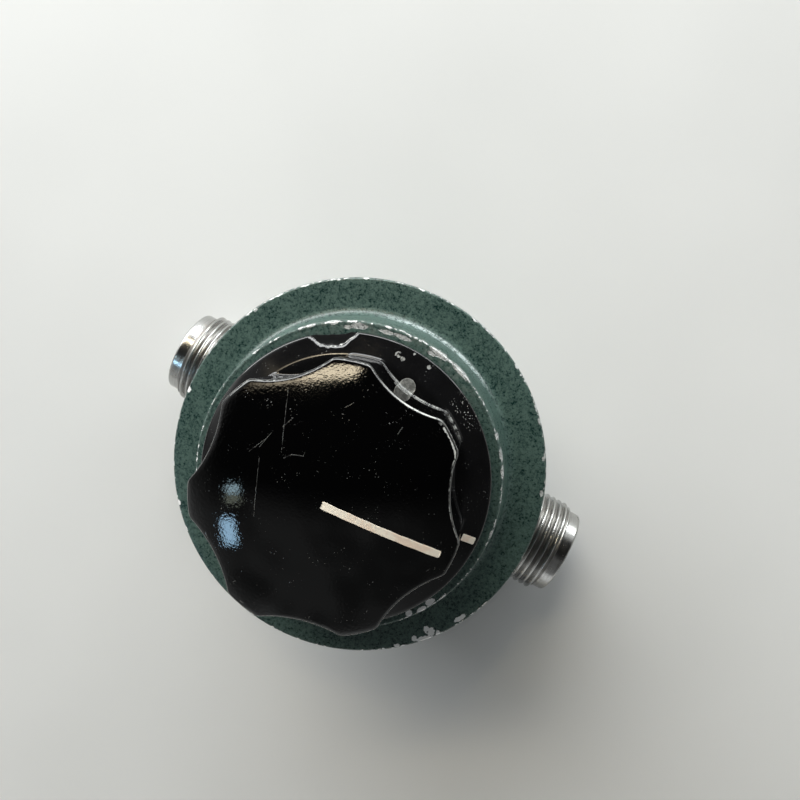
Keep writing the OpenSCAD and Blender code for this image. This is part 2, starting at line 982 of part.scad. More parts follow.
front_housing();
body_can();
rear_cover();
cover_gasket();
cover_screws();
connector_shell(1);  // right_connector_shell
connector_washer(1);  // right_connector_washer
insulator(1);  // right_insulator
insulator_retainer(1);  // right_insulator_retainer
centre_contact(1);  // right_centre_contact
connector_shell(-1);  // left_connector_shell
connector_washer(-1);  // left_connector_washer
insulator(-1);  // left_insulator
insulator_retainer(-1);  // left_insulator_retainer
centre_contact(-1);  // left_centre_contact
coupling_strap();
front_plate();
rear_plate();
frame_pillars();
frame_screws();
insulator_bar(front_bar_z);  // front_insulator_bar
insulator_bar(rear_bar_z);  // rear_insulator_bar
insulator_screws();
stator_plates();
stator_spacers();
stator_rods();
stator_rod_nuts();
shaft();
rotor_plates();
rotor_spacers();
stop_collar();
stop_pin();
bearing_ball();
bearing_screw();
bearing_lock_nut();
shaft_bushing();
bushing_lock_washer();
bushing_nut();
retaining_clip();
thrust_washer();
wiper_spring();
wiper_rivet();
knob();
knob_insert();
knob_set_screws();
pointer_line();
skirt_mark();
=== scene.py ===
# %% [markdown]
# # A coaxial tuning capacitor
# This lesson dresses a small radio part: a round housing in hammertone enamel, a glossy fluted
# knob with a pointer line, and a nickel-plated threaded jack on each side. The hard sizes come
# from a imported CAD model. It is loaded first and never moved, and each finished surface is
# built around it.

# %% Load the model
import json
import math

import bpy
import numpy as np
from mathutils import Matrix, Vector


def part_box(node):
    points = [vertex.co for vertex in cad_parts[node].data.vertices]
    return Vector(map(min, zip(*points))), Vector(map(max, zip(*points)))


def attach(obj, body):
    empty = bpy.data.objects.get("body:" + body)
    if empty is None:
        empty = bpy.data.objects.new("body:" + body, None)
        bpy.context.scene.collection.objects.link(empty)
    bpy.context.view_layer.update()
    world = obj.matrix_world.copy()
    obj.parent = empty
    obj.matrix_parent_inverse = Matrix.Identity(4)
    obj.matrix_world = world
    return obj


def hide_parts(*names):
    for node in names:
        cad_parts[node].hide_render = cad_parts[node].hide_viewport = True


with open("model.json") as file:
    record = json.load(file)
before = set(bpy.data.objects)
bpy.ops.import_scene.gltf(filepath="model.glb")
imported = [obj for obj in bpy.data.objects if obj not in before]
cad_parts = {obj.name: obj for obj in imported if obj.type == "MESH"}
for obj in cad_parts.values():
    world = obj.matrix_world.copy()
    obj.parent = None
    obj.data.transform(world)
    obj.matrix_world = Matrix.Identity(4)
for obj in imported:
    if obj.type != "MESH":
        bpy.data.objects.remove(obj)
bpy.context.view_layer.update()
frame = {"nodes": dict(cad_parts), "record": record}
MM = 0.001
print("nodes", len(frame["nodes"]))

# %% [markdown]
# ## Sizes
# Heights and radii are read from the boxes of the CAD nodes wherever a box shows them, so that
# the finish follows the model. The few sizes that no box shows, such as a fillet's radius, are
# named here once, in millimetres.

# %% Sizes in millimetres
def node_box(name):
    """The lowest and highest corner of a CAD node, in millimetres."""
    low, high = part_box(name)
    return np.array(low) / MM, np.array(high) / MM


front_low, front_high = node_box("front_housing")
can_low = node_box("body_can")[0]
knob_low, knob_high = node_box("knob")
shell_low, shell_high = node_box("right_connector_shell")
washer_low, washer_high = node_box("right_connector_washer")
cover_high = node_box("rear_cover")[1]

FLANGE_R = front_high[0]
BOSS_Z = front_high[2]
FLANGE_BACK = front_low[2]
FLANGE_Z = FLANGE_BACK + 1.8
BODY_Z = can_low[2]
BODY_R = cover_high[0]
CAVITY_R = BODY_R - 1.8
FRONT_WALL = 2.5
BOSS_BASE_R = 22.7
BOSS_TOP_R = 21.6
BOSS_FILLET = 1.4
BUSHING_HOLE_R = 4.81

SKIRT_R = knob_high[0]
KNOB_Z = knob_low[2]
KNOB_TOP = knob_high[2]
DOME_H = 3.35
FACE_Z = KNOB_TOP - DOME_H
SKIRT_EDGE = 1.0
SKIRT_RISE = 1.3
KNOB_R = 16.8
LOBES = 7
VALLEY_R = 14.93
SCALLOP_R = 13.5
RECESS_R = 8.0
RECESS_TOP = KNOB_Z + 4.1
INSERT_R = 5.03
INSERT_TOP = 53.0
POINTER_AZ = math.radians(3.6)
FLUTE_Z = KNOB_Z + SKIRT_EDGE + SKIRT_RISE

JACK_Z = (washer_low[2] + washer_high[2]) / 2
JACK_TIP = shell_high[0]
HEX_X = washer_high[0]
PAD_X = washer_low[0]
PAD_R = 9.2
NECK_R = 6.3
HEX_T = 2.4
HEX_FLATS = shell_high[2] - shell_low[2]
NECK_BACK = shell_low[0]
SOCKET_R = 4.05
SOCKET_DEPTH = 9.2
THREAD_R = 15.875 / 2
THREAD_PITCH = 1.058
THREAD_DEPTH = 0.65
PILOT_R = 7.1
PILOT_LEN = 2.0
for name, value in (("flange radius", FLANGE_R), ("boss top", BOSS_Z), ("jack tip", JACK_TIP)):
    print(name, round(value, 2))

# %% [markdown]
# ## Turned surfaces
# Every piece here was turned, moulded round an axis or screwed together from such parts. Each
# one can be made as a grid: one parameter runs along a profile and the other goes round the
# axis. A profile is drawn as a few corners, each with its own rounding, because a real edge is
# never sharp and its small radius is what catches the light.

# %% Profiles with rounded corners
def rounded(corners, closed=True, step=1.2, arc_steps=5):
    """Points of a profile. A corner is (radius from the axis, place along it, rounding).
    Its arc touches both sides at a distance of rounding * tan(turn / 2) from the corner, and
    the straight stretches between arcs are cut into pieces no longer than step."""
    xy = np.array([c[:2] for c in corners], float)
    count = len(corners)
    runs = []
    for i, corner in enumerate(corners):
        if not closed and i in (0, count - 1):
            runs.append(xy[i:i + 1])
            continue
        here = xy[i]
        back = xy[i - 1] - here
        ahead = xy[(i + 1) % count] - here
        back, ahead = back / np.linalg.norm(back), ahead / np.linalg.norm(ahead)
        half = math.acos(np.clip(back @ ahead, -1, 1)) / 2
        if corner[2] <= 0 or abs(half - math.pi / 2) < 1e-4:
            runs.append(xy[i:i + 1])
            continue
        centre = here + (back + ahead) / np.linalg.norm(back + ahead) * corner[2] / math.sin(half)
        start = here + back * corner[2] / math.tan(half) - centre
        end = here + ahead * corner[2] / math.tan(half) - centre
        t = np.linspace(0, 1, arc_steps + 1)[:, None]
        turn = math.pi - 2 * half
        arc = (np.sin((1 - t) * turn) * start + np.sin(t * turn) * end) / math.sin(turn)
        runs.append(centre + arc)
    points = []
    for i, run in enumerate(runs):
        points.append(run)
        if closed or i < count - 1:
            a, b = run[-1], runs[(i + 1) % count][0]
            cuts = int(np.linalg.norm(b - a) / step)
            points.append(a + (b - a) * np.linspace(0, 1, cuts + 2)[1:-1, None])
    return np.concatenate(points)


# %% [markdown]
# A lathe turns the profile: each point is set round the axis at every angle. Its radius can be
# limited at each angle, which is how the same helpers make a hexagon or a pad with a flat side.

# %% Lathe and mesh helpers
def angles(columns):
    """Equal steps once round the axis."""
    return np.linspace(0, 2 * np.pi, columns, endpoint=False)


def upright(radius, along, theta):
    """Point at radius and theta round Z: x = r cos, y = r sin, z = along."""
    return np.stack(np.broadcast_arrays(radius * np.cos(theta), radius * np.sin(theta), along), -1)


def sideways(side):
    """The same round a connector's axis: along is the distance from the middle, on X."""
    def place(radius, along, theta):
        return np.stack(np.broadcast_arrays(
            side * along, side * radius * np.sin(theta), JACK_Z - radius * np.cos(theta)), -1)
    return place


def grid_faces(rows, columns, closed):
    """Quads of a grid whose columns go once round, and whose rows do too if it is closed."""
    r = np.arange(rows if closed else rows - 1)[:, None]
    c = np.arange(columns)[None, :]
    r2, c2 = (r + 1) % rows, (c + 1) % columns
    quads = np.stack([r * columns + c, r * columns + c2, r2 * columns + c2, r2 * columns + c], -1)
    return quads.reshape(-1, 4)


class Shell:
    """One or more closed surfaces that become one mesh, with a value per vertex for each mark."""

    def __init__(self):
        self.points, self.quads, self.fans, self.marks, self.count = [], [], [], {}, 0

    def add(self, grid, closed=True, **marks):
        """Adds a grid of points (rows, columns, 3). An open grid's first and last row are closed
        by a fan round their middle."""
        rows, columns = grid.shape[:2]
        points = grid.reshape(-1, 3)
        quads = grid_faces(rows, columns, closed)
        fans = np.zeros((0, 3), int)
        if not closed:
            ring = np.arange(columns)
            ahead = (ring + 1) % columns
            last = (rows - 1) * columns
            middle = rows * columns
            points = np.concatenate([points, grid[0].mean(0)[None], grid[-1].mean(0)[None]])
            fans = np.concatenate([
                np.stack([ahead, ring, np.full(columns, middle)], -1),
                np.stack([last + ring, last + ahead, np.full(columns, middle + 1)], -1)])
        corners = points[quads]
        volume = np.einsum("ij,ij->i", corners[:, 0], np.cross(corners[:, 1], corners[:, 2])).sum()
        volume += np.einsum("ij,ij->i", corners[:, 0], np.cross(corners[:, 2], corners[:, 3])).sum()
        if volume < 0:
            quads, fans = quads[:, ::-1], fans[:, ::-1]
        for name in sorted(set(self.marks) | set(marks)):
            known = self.marks.setdefault(name, [np.zeros(self.count)])
            values = np.broadcast_to(marks.get(name, 0.0), (rows, columns)).ravel()
            known.append(np.concatenate([values, np.zeros(len(points) - len(values))]))
        self.points.append(points)
        self.quads.append(quads + self.count)
        self.fans.append(fans + self.count)
        self.count += len(points)
        return self

    def piece(self, name, body, slot, material, replaces=()):
        """Makes the Blender object, in metres, smooth, on a CAD body."""
        mesh = bpy.data.meshes.new(name)
        faces = np.concatenate(self.quads).tolist() + np.concatenate(self.fans).tolist()
        mesh.from_pydata(np.concatenate(self.points) * MM, [], faces)
        mesh.polygons.foreach_set("use_smooth", np.ones(len(mesh.polygons), bool))
        for mark, values in self.marks.items():
            layer = mesh.attributes.new(mark, "FLOAT", "POINT")
            layer.data.foreach_set("value", np.concatenate(values).astype(np.float32))
        mesh.update()
        piece = bpy.data.objects.new(name, mesh)
        bpy.context.scene.collection.objects.link(piece)
        mesh.materials.append(material)
        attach(piece, body)
        if replaces:
            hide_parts(*replaces)
        print(name, len(mesh.vertices), "vertices")
        return piece


# %% [markdown]
# ## Shader arithmetic
# A material is a sum of masks, so the masks are written as ordinary expressions. A Value wraps
# a socket, and using it with + or * adds the Math node. A Paint owns one material and has one
# method that adds any other node.

# %% Shader helpers
class Value:
    """A socket that can be used in arithmetic."""

    def __init__(self, paint, socket):
        self.paint, self.socket = paint, socket

    def math(self, operation, *others):
        return self.paint.node("ShaderNodeMath", {"operation": operation}, {
            i: other for i, other in enumerate((self, *others))})

    def __add__(self, other): return self.math("ADD", other)
    def __radd__(self, other): return self.math("ADD", other)
    def __mul__(self, other): return self.math("MULTIPLY", other)
    def __rmul__(self, other): return self.math("MULTIPLY", other)
    def __sub__(self, other): return self.math("SUBTRACT", other)
    def __rsub__(self, other): return (self * -1).math("ADD", other)
    def __truediv__(self, other): return self.math("DIVIDE", other)
    def __pow__(self, other): return self.math("POWER", other)
    def __abs__(self): return self.math("ABSOLUTE")

    def most(self, other): return self.math("MAXIMUM", other)
    def least(self, other): return self.math("MINIMUM", other)

    def ramp(self, low, high):
        """0 below low, 1 above high and smooth between them; low above high turns it over."""
        return self.paint.node("ShaderNodeMapRange", {"interpolation_type": "SMOOTHSTEP"}, {
            "Value": self, "From Min": low, "From Max": high})


class Paint:
    """One material, or the world, and the nodes in it."""

    def __init__(self, name, owner=None):
        self.material = owner or bpy.data.materials.new(name)
        self.material.use_nodes = True
        self.tree = self.material.node_tree
        self.tree.nodes.clear()

    def node(self, kind, settings=None, inputs=None, out=0):
        """Adds a node: its settings first, then the values or links of its sockets."""
        made = self.tree.nodes.new(kind)
        for key, value in (settings or {}).items():
            setattr(made, key, value)
        for key, value in (inputs or {}).items():
            if isinstance(value, Value):
                self.tree.links.new(value.socket, made.inputs[key])
            else:
                made.inputs[key].default_value = value
        return Value(self, made.outputs[out]) if made.outputs else None

    def place(self):
        """Object coordinates: the vector, then x, y and z."""
        vector = self.node("ShaderNodeTexCoord", out="Object")
        return vector, *(
            self.node("ShaderNodeSeparateXYZ", None, {"Vector": vector}, axis) for axis in "XYZ")

    def noise(self, vector, size_mm, detail=2.0, rough=0.5, out="Fac"):
        """Noise whose features are about size_mm across."""
        return self.node("ShaderNodeTexNoise", None, {
            "Vector": vector, "Scale": 1 / (size_mm * MM), "Detail": detail,
            "Roughness": rough}, out)

    def mark(self, name):
        """A value that the mesh carries per vertex."""
        return self.node("ShaderNodeAttribute", {"attribute_name": name}, None, "Fac")

    def blend(self, first, second, factor):
        """Colour that goes from first to second."""
        return self.node("ShaderNodeMix", {"data_type": "RGBA"}, {
            "Factor": factor, 6: first, 7: second}, 2)

    def stretch(self, vector, scale, turn=(0, 0, 0)):
        """Turns, then stretches a vector, so that a noise becomes streaks."""
        turned = self.node("ShaderNodeMapping", None, {"Vector": vector, "Rotation": turn})
        return self.node("ShaderNodeMapping", None, {"Vector": turned, "Scale": scale})

    def bump(self, height, depth_mm, base=None):
        """Relief of depth_mm where height goes from 0 to 1."""
        inputs = {"Height": height, "Distance": depth_mm * MM, "Strength": 1.0}
        if base:
            inputs["Normal"] = base
        return self.node("ShaderNodeBump", None, inputs)

    def surface(self, **sockets):
        """Ends the material in a Principled shader. Socket names use _ for a space."""
        shader = self.node("ShaderNodeBsdfPrincipled", None, {
            key.replace("_", " "): value for key, value in sockets.items()})
        self.node("ShaderNodeOutputMaterial", None, {"Surface": shader})
        return self.material


def grey(value):
    """A neutral colour."""
    return (value, value, value, 1)


# %% [markdown]
# ## Hammertone enamel
# The housing is a casting sprayed with hammertone enamel. That paint dries into small wrinkled
# cells, darker in the hollows and a little raised between them, and it chips down to bright
# metal where the part gets knocked: along the rim of the flange and round the shoulder of the
# boss. Every mask below is a distance from such an edge, broken up by noise. Two of them are
# painted light: a pale bluish highlight on the fillet at the boss's foot, and the chips on the
# lower side, painted brighter to make up for the shade there.

# %% Places round the shaft
def round_shaft(paint):
    """Object coordinates in millimetres: the vector, x, y, z, distance from the shaft, and the
    angle round it in degrees, from -180 to 180 and 0 on +X."""
    vector, x, y, z = paint.place()
    x, y, z = x / MM, y / MM, z / MM
    return vector, x, y, z, (x * x + y * y) ** 0.5, y.math("ARCTAN2", x) * (180 / math.pi)


def patch(x, y, ragged, radius, azimuth, across, along):
    """1 inside an ellipse with half sizes across and along the radius, its outline made uneven
    by ragged: (out / across)^2 + (round / along)^2 + ragged < 1."""
    c, s = math.cos(math.radians(azimuth)), math.sin(math.radians(azimuth))
    dx, dy = x - radius * c, y - radius * s
    out = (dx * c + dy * s) / across
    side = (dy * c - dx * s) / along
    return (out * out + side * side + ragged).ramp(1.12, 0.88)


def near_ring(radius, z, ring_radius, ring_z, reach):
    """1 on a ring round the shaft, falling to 0 at reach millimetres from it."""
    dr, dz = radius - ring_radius, z - ring_z
    return 1 - ((dr * dr + dz * dz) ** 0.5) / reach


def near_spot(x, y, z, spot, reach):
    """1 at a spot (x, y, z), falling to 0 at reach millimetres from it."""
    dx, dy, dz = x - spot[0], y - spot[1], z - spot[2]
    return 1 - ((dx * dx + dy * dy + dz * dz) ** 0.5) / reach


def between(azimuth, first, last, soft=4.0):
    """1 between two angles, with soft ends."""
    return azimuth.ramp(first - soft, first + soft) * azimuth.ramp(last + soft, last - soft)


# %% The enamel and its chips
RIM_CHIPS = (
    (27.4, -37.3, 0.62, 0.75), (26.75, -38.2, 0.5, 0.42), (28.0, -35.6, 0.4, 0.4),
    (28.2, -38.6, 0.6, 0.4), (27.5, -43.0, 0.42, 0.42), (27.9, -40.6, 0.35, 1.0),
    (27.9, -49.0, 0.28, 0.42), (27.6, -26.9, 0.36, 1.1), (28.13, -176.0, 0.42, 0.42),
    (27.85, 20.5, 0.26, 0.5), (27.9, 31.5, 0.24, 0.32), (28.1, 42.8, 0.22, 0.5),
    (28.2, 60.6, 0.22, 0.4), (27.95, 150.9, 0.24, 0.3), (28.1, -139.8, 0.25, 0.4))
BOSS_CHIPS = (
    (21.3, 81.0, 0.45, 1.4), (20.75, 83.5, 0.3, 0.6), (21.5, 71.0, 0.42, 1.5),
    (20.75, 102.5, 0.3, 1.0), (20.8, 96.0, 0.3, 1.3), (20.9, 113.0, 0.4, 1.1),
    (20.7, 117.5, 0.3, 0.5), (21.6, 123.3, 0.32, 0.6), (21.55, 131.5, 0.28, 0.7),
    (21.7, 43.8, 0.4, 0.5), (21.7, 36.5, 0.36, 1.0), (21.6, 30.5, 0.3, 0.9), (21.6, 7.1, 0.3, 0.6),
    (21.05, -28.1, 0.42, 0.7), (21.3, -32.5, 0.32, 0.7), (21.1, -37.4, 0.36, 0.5))


def hammertone():
    paint = Paint("hammertone_enamel")
    vector, x, y, z, radius, azimuth = round_shaft(paint)
    cell = paint.noise(vector, 0.44, 3, 0.6)
    fine = paint.noise(vector, 0.21, 2, 0.6)
    cloud = paint.noise(vector, 3.2, 3, 0.55)
    ragged = paint.noise(vector, 0.7, 4, 0.65)
    lump = paint.noise(vector, 2.2, 3, 0.6)
    mottle = cell * 0.50 + fine * 0.36 + cloud * 0.14

    rim = near_ring(radius, z, FLANGE_R - 0.05, FLANGE_Z - 0.05, 0.8).most(0)
    lower_rim = near_ring(radius, z, FLANGE_R - 0.05, FLANGE_BACK + 0.05, 0.7).most(0)
    knocked = between(azimuth, 122, 160) * 0.07 + between(azimuth, 15, 100) * 0.03
    knocked = knocked + between(azimuth, -60, -20) * 0.05
    bare = (rim * 0.36 + ragged * 0.5 + lump * 0.45 + knocked).ramp(0.84, 0.87)
    bare = bare.most((lower_rim * 0.5 + ragged * 0.5 + lump * 0.4).ramp(0.80, 0.84))
    shoulder = near_ring(radius, z, BOSS_TOP_R - 0.12, BOSS_Z - 0.12, 0.55).most(0)
    knocked = between(azimuth, 60, 135) * 0.05 + between(azimuth, -45, 60) * 0.02
    bare = bare.most((shoulder * 0.24 + ragged * 0.6 + lump * 0.5 + knocked).ramp(0.80, 0.84))
    wobble = (ragged - 0.5) * 4.2
    for height, chips in ((FLANGE_Z, RIM_CHIPS), (BOSS_Z, BOSS_CHIPS)):
        for place, angle, across, along in chips:
            chip = patch(x, y, wobble, place, angle, across, along)
            bare = bare.most(chip * abs(z - height).ramp(1.6, 1.1))

    hollow, raised = (0.012, 0.032, 0.029, 1), (0.071, 0.119, 0.102, 1)
    colour = paint.blend(hollow, raised, mottle.ramp(0.38, 0.60))
    # A lighter, ragged greyish band round the top of the boss, only on its upper side, 60 to 135
    # degrees round.
    upper_boss_band = near_ring(radius, z, BOSS_TOP_R - 0.2, BOSS_Z - 0.5, 2.2).most(0)
    upper_boss_band = upper_boss_band * ragged.ramp(0.45, 0.62)
    upper_boss_band = upper_boss_band * between(azimuth, 60, 135, 12)
    colour = paint.blend(colour, (0.17, 0.20, 0.18, 1), upper_boss_band * 0.8)
    # Painted highlight: a pale bluish band on the fillet at the boss's foot, 62 to 104 degrees
    # round, where the window's reflection lies.
    fillet_highlight = near_ring(radius, z, BOSS_BASE_R + 0.25, FLANGE_Z + 0.7, 0.7).ramp(0.1, 0.7)
    fillet_highlight = fillet_highlight * between(azimuth, 62, 104, 8) * (ragged + fine).ramp(0.85, 1.10)
    colour = paint.blend(colour, (0.42, 0.50, 0.50, 1), fillet_highlight * 0.75)
    edge = bare.ramp(0.02, 0.4) * bare.ramp(0.98, 0.6)
    colour = paint.blend(colour, (0.02, 0.026, 0.024, 1), edge * 0.6)
    # Painted light: on the lower side the bare chips are made fully bright and less metallic, to
    # make up for the shade that falls there; elsewhere their brightness varies with noise.
    shaded_side_lift = azimuth.ramp(10, -20)
    bright_metal_and_lift = (ragged * 0.5 + fine * 0.5).ramp(0.40, 0.54).most(shaded_side_lift)
    metal = paint.blend(grey(0.30), grey(0.92), bright_metal_and_lift)
    colour = paint.blend(colour, metal, bare * (0.6 + shaded_side_lift * 0.4))
    relief = paint.bump(mottle + shoulder * ragged * 2.5, 0.06)
    relief = paint.bump(1 - bare, 0.07, relief)
    painted = 0.27 + mottle.ramp(0.4, 0.6) * 0.12 + shoulder * (0.1 + ragged * 0.4)
    roughness = painted * (1 - bare) + bare * 0.40
    shine = bare * (0.35 - shaded_side_lift * 0.25)
    return paint.surface(Base_Color=colour, Metallic=shine, Roughness=roughness, Normal=relief)


enamel = hammertone()
print("enamel nodes", len(enamel.node_tree.nodes))

# %% [markdown]
# ## The housing
# The casting is a turned shape: a can, a wide flange and a slightly tapered boss, with a fillet
# between the last two. Its section is a closed loop, so the wall and the hollow come from one
# lathe. The two round pads for the jacks are lathed about the jacks' axis, with a flat where
# the can ends. The lugs for the cover screws are hidden inside, so they are left out.

# %% Housing casting
def casting():
    section = rounded([
        (CAVITY_R, BODY_Z, 0), (BODY_R, BODY_Z, 0.15), (BODY_R, FLANGE_BACK, 0.4),
        (FLANGE_R, FLANGE_BACK, 0.3), (FLANGE_R, FLANGE_Z, 0.38),
        (BOSS_BASE_R, FLANGE_Z, BOSS_FILLET), (BOSS_TOP_R, BOSS_Z, 0.42),
        (BUSHING_HOLE_R, BOSS_Z, 0), (BUSHING_HOLE_R, BOSS_Z - FRONT_WALL, 0),
        (CAVITY_R, BOSS_Z - FRONT_WALL, 0.5)])
    theta = angles(512)
    shell = Shell().add(upright(section[:, :1], section[:, 1:], theta))
    bore = NECK_R + 0.05
    pad = rounded([
        (bore, CAVITY_R, 0), (PAD_R, CAVITY_R, 0), (PAD_R, PAD_X, 0.3), (bore, PAD_X, 0)])
    theta = angles(160)
    flat = (JACK_Z - BODY_Z) / np.maximum(np.cos(theta), 1e-3)
    flat = np.where(np.cos(theta) > 0, flat, np.inf)
    for side in (1, -1):
        shell.add(sideways(side)(np.minimum(pad[:, :1], flat), pad[:, 1:], theta))
    return shell


casting().piece(
    "housing_casting", "housing_assembly", "green_enamel", enamel, ("front_housing", "body_can"))

# %% [markdown]
# ## The knob
# The knob is a black moulding. From above it has seven shallow scallops, each an arc of one
# circle, and the lobes between them lie on a larger circle. Its face is a low dome, so its slope
# grows outwards and it mirrors a wide part of the room. A thin conical skirt spreads at the
# foot. One grid covers all of it: columns go round, and rows follow the outline from the middle
# of the face, over the shoulder, down the fluted wall, round the skirt and into the hollow
# below. The outline's reach is different at every angle, because of the scallops.

# %% Dome, scallops and skirt as formulas
def dome(r):
    """Height of the face: its top, less DOME_H times (r / KNOB_R)^2."""
    return FACE_Z + DOME_H * (1 - (r / KNOB_R) ** 2)


def soft_least(a, b, blend):
    """The smaller of two values, with a rounded join blend wide."""
    h = np.clip(0.5 + 0.5 * (b - a) / blend, 0, 1)
    return b + (a - b) * h - blend * h * (1 - h)


def wall_radius(theta):
    """Distance of the fluted wall: the scallop's circle, of radius SCALLOP_R and centred outside
    the knob, where it comes nearer than KNOB_R."""
    pitch = 2 * np.pi / LOBES
    off = (theta - POINTER_AZ) % pitch - pitch / 2
    centre = VALLEY_R + SCALLOP_R
    inside = SCALLOP_R ** 2 - (centre * np.sin(off)) ** 2
    scallop = centre * np.cos(off) - np.sqrt(np.maximum(inside, 0))
    scallop = np.where(inside > 0, scallop, KNOB_R + 2)
    return soft_least(scallop, np.full_like(scallop, KNOB_R), 0.35)


def skirt_top(r):
    """Height of the skirt: level up to the wall, then a cone down to its edge."""
    cone = KNOB_Z + SKIRT_EDGE + SKIRT_RISE * (SKIRT_R - r) / (SKIRT_R - KNOB_R)
    return soft_least(cone, np.full_like(cone, FLUTE_Z), 0.12)


# %% [markdown]
# The skirt has a piece broken out of its edge. Its outline is an uneven arc, and the broken
# face lies a little below the skirt. The grid carries distances, in millimetres, to the places
# that wear first: the shoulder, the foot of the wall and the outline of the break. They are
# smooth numbers, so the material can draw a line much finer than the grid.

# %% Knob moulding
BREAK_AZ, BREAK_HALF, BREAK_DEEP = 121.7, 9.8, 1.9
SCREW_Z = 48.0
SCREW_HOLE_R = 1.8
SCREW_END_R = 8.4
SCREW_VALLEYS = (4.5, 5.5)
KNOB_COLUMNS = 65 * LOBES
FAR = 40


def break_line(r, theta):
    """How far a place is outside the broken outline, an uneven parabola BREAK_DEEP deep."""
    along = (np.degrees(theta) - BREAK_AZ) / BREAK_HALF
    uneven = 0.14 * np.sin(6.5 * along + 0.8) + 0.07 * np.sin(17 * along)
    return r - (SKIRT_R - BREAK_DEEP * (1 - along ** 2) + uneven)


def moulding():
    """The knob, with three marks per vertex in millimetres: the distance along the outline from
    the shoulder, the distance from the foot of the wall, and the distance outside the break."""
    theta = angles(KNOB_COLUMNS)
    wall = wall_radius(theta)
    shoulder, foot, ledge_end = 0.55, 0.3, 17.7
    r1 = wall.copy()
    for _ in range(3):
        beta = np.arctan(2 * DOME_H * r1 / KNOB_R ** 2)
        r1 = wall - shoulder * (1 - np.sin(beta))
    centre_z = dome(r1) - shoulder * np.cos(beta)

    t = np.linspace(0.012, 1, 34)[:, None] ** 0.75
    face_r, face_z = t * r1, dome(t * r1)
    turn = beta + np.linspace(0, 1, 8)[1:, None] * (np.pi / 2 - beta)
    round_r, round_z = wall - shoulder + shoulder * np.sin(turn), centre_z + shoulder * np.cos(turn)
    t = np.linspace(0, 1, 58)[1:, None]
    wall_z = centre_z + (FLUTE_Z + foot - centre_z) * t
    wall_r = np.broadcast_to(wall, wall_z.shape)
    turn = np.linspace(0, np.pi / 2, 6)[1:, None]
    foot_r = wall + foot * (1 - np.cos(turn))
    foot_z = FLUTE_Z + foot * (1 - np.sin(turn)) + 0 * wall
    t = np.linspace(0, 1, 9)[1:, None]
    ledge_r = (wall + foot) * (1 - t) + ledge_end * t
    ledge_z = skirt_top(ledge_r)
    rest = rounded([
        (ledge_end, skirt_top(np.array([ledge_end]))[0], 0), (SKIRT_R, KNOB_Z + SKIRT_EDGE, 0.32),
        (SKIRT_R, KNOB_Z, 0.25), (RECESS_R, KNOB_Z, 0.2), (RECESS_R, RECESS_TOP, 0),
        (INSERT_R, RECESS_TOP, 0.15), (INSERT_R, INSERT_TOP, 0), (0.3, INSERT_TOP, 0)],
        closed=False, step=0.45)[1:]
    rest_r, rest_z = rest[:, :1] + 0 * wall, rest[:, 1:] + 0 * wall
    r = np.concatenate([face_r, round_r, wall_r, foot_r, ledge_r, rest_r])
    z = np.concatenate([face_z, round_z, wall_z, foot_z, ledge_z, rest_z])

    outer = (z < FLUTE_Z + 0.1) & (r > 17)
    outside = break_line(r, theta)
    sunk = np.clip(outside / 0.35, 0, 1) * np.where(outer & (z > KNOB_Z + 0.05), 1, 0)
    z = z - sunk * np.clip(z - KNOB_Z - 0.35, 0, 0.5)
    r = r - np.where(outer, np.clip(outside - 0.9, 0, 1) * 0.35, 0)

    points = upright(r, z, theta)
    valley = 2 * np.pi / LOBES
    for k in SCREW_VALLEYS:
        turn = POINTER_AZ + k * valley
        direction = np.array([math.cos(turn), math.sin(turn), 0])
        along = points @ direction
        off = points - along[..., None] * direction - np.array([0, 0, SCREW_Z])
        inside = np.clip((SCREW_HOLE_R - np.linalg.norm(off, axis=-1)) / 0.12 + 0.5, 0, 1)
        inside = inside * (along > 13.5)
        points = points - direction * (inside * (along - SCREW_END_R))[..., None]

    far = [np.full(part.shape, FAR) for part in (face_r, round_r, foot_r, ledge_r, rest_r)]
    over = np.linspace(-0.35, 0.35, 8)[1:, None] + 0 * round_r
    run = np.concatenate([face_r - r1 - 0.35, over, 0.35 + centre_z - wall_z, *far[2:]])
    from_foot = np.concatenate([*far[:2], FLUTE_Z - wall_z, foot_r - wall, ledge_r - wall, far[4]])
    return Shell().add(points, closed=False, shoulder=run, foot=from_foot, broken=outside)


print("valley radius", round(float(wall_radius(angles(KNOB_COLUMNS)).min()), 2))

# %% [markdown]
# ## Black plastic
# The moulding is as shiny as a lacquered surface, so most of what shows on it is the room. The
# rest is wear and one painted reflection: pale lines along the shoulder of a few scallops and
# along the foot of the wall, a thin grey painted reflection along the shoulder of the upper left
# lobes, a pale outline round the break, a dab of old glue, and dust and fine scratches that only
# show because everything round them is black.

# %% Scratches
def scratch(x, y, drift, start, end, half):
    """1 on a line from start to end, both (x, y) in millimetres, half wide each side. The
    distance is taken to the nearest place on the line, after drift has bent it a little."""
    (x0, y0), (x1, y1) = start, end
    dx, dy = x1 - x0, y1 - y0
    u, v = x - x0 + drift, y - y0 + drift
    t = ((u * dx + v * dy) / (dx * dx + dy * dy)).most(0).least(1)
    off_x, off_y = u - t * dx, v - t * dy
    return ((off_x * off_x + off_y * off_y) ** 0.5).ramp(half, half * 0.3)


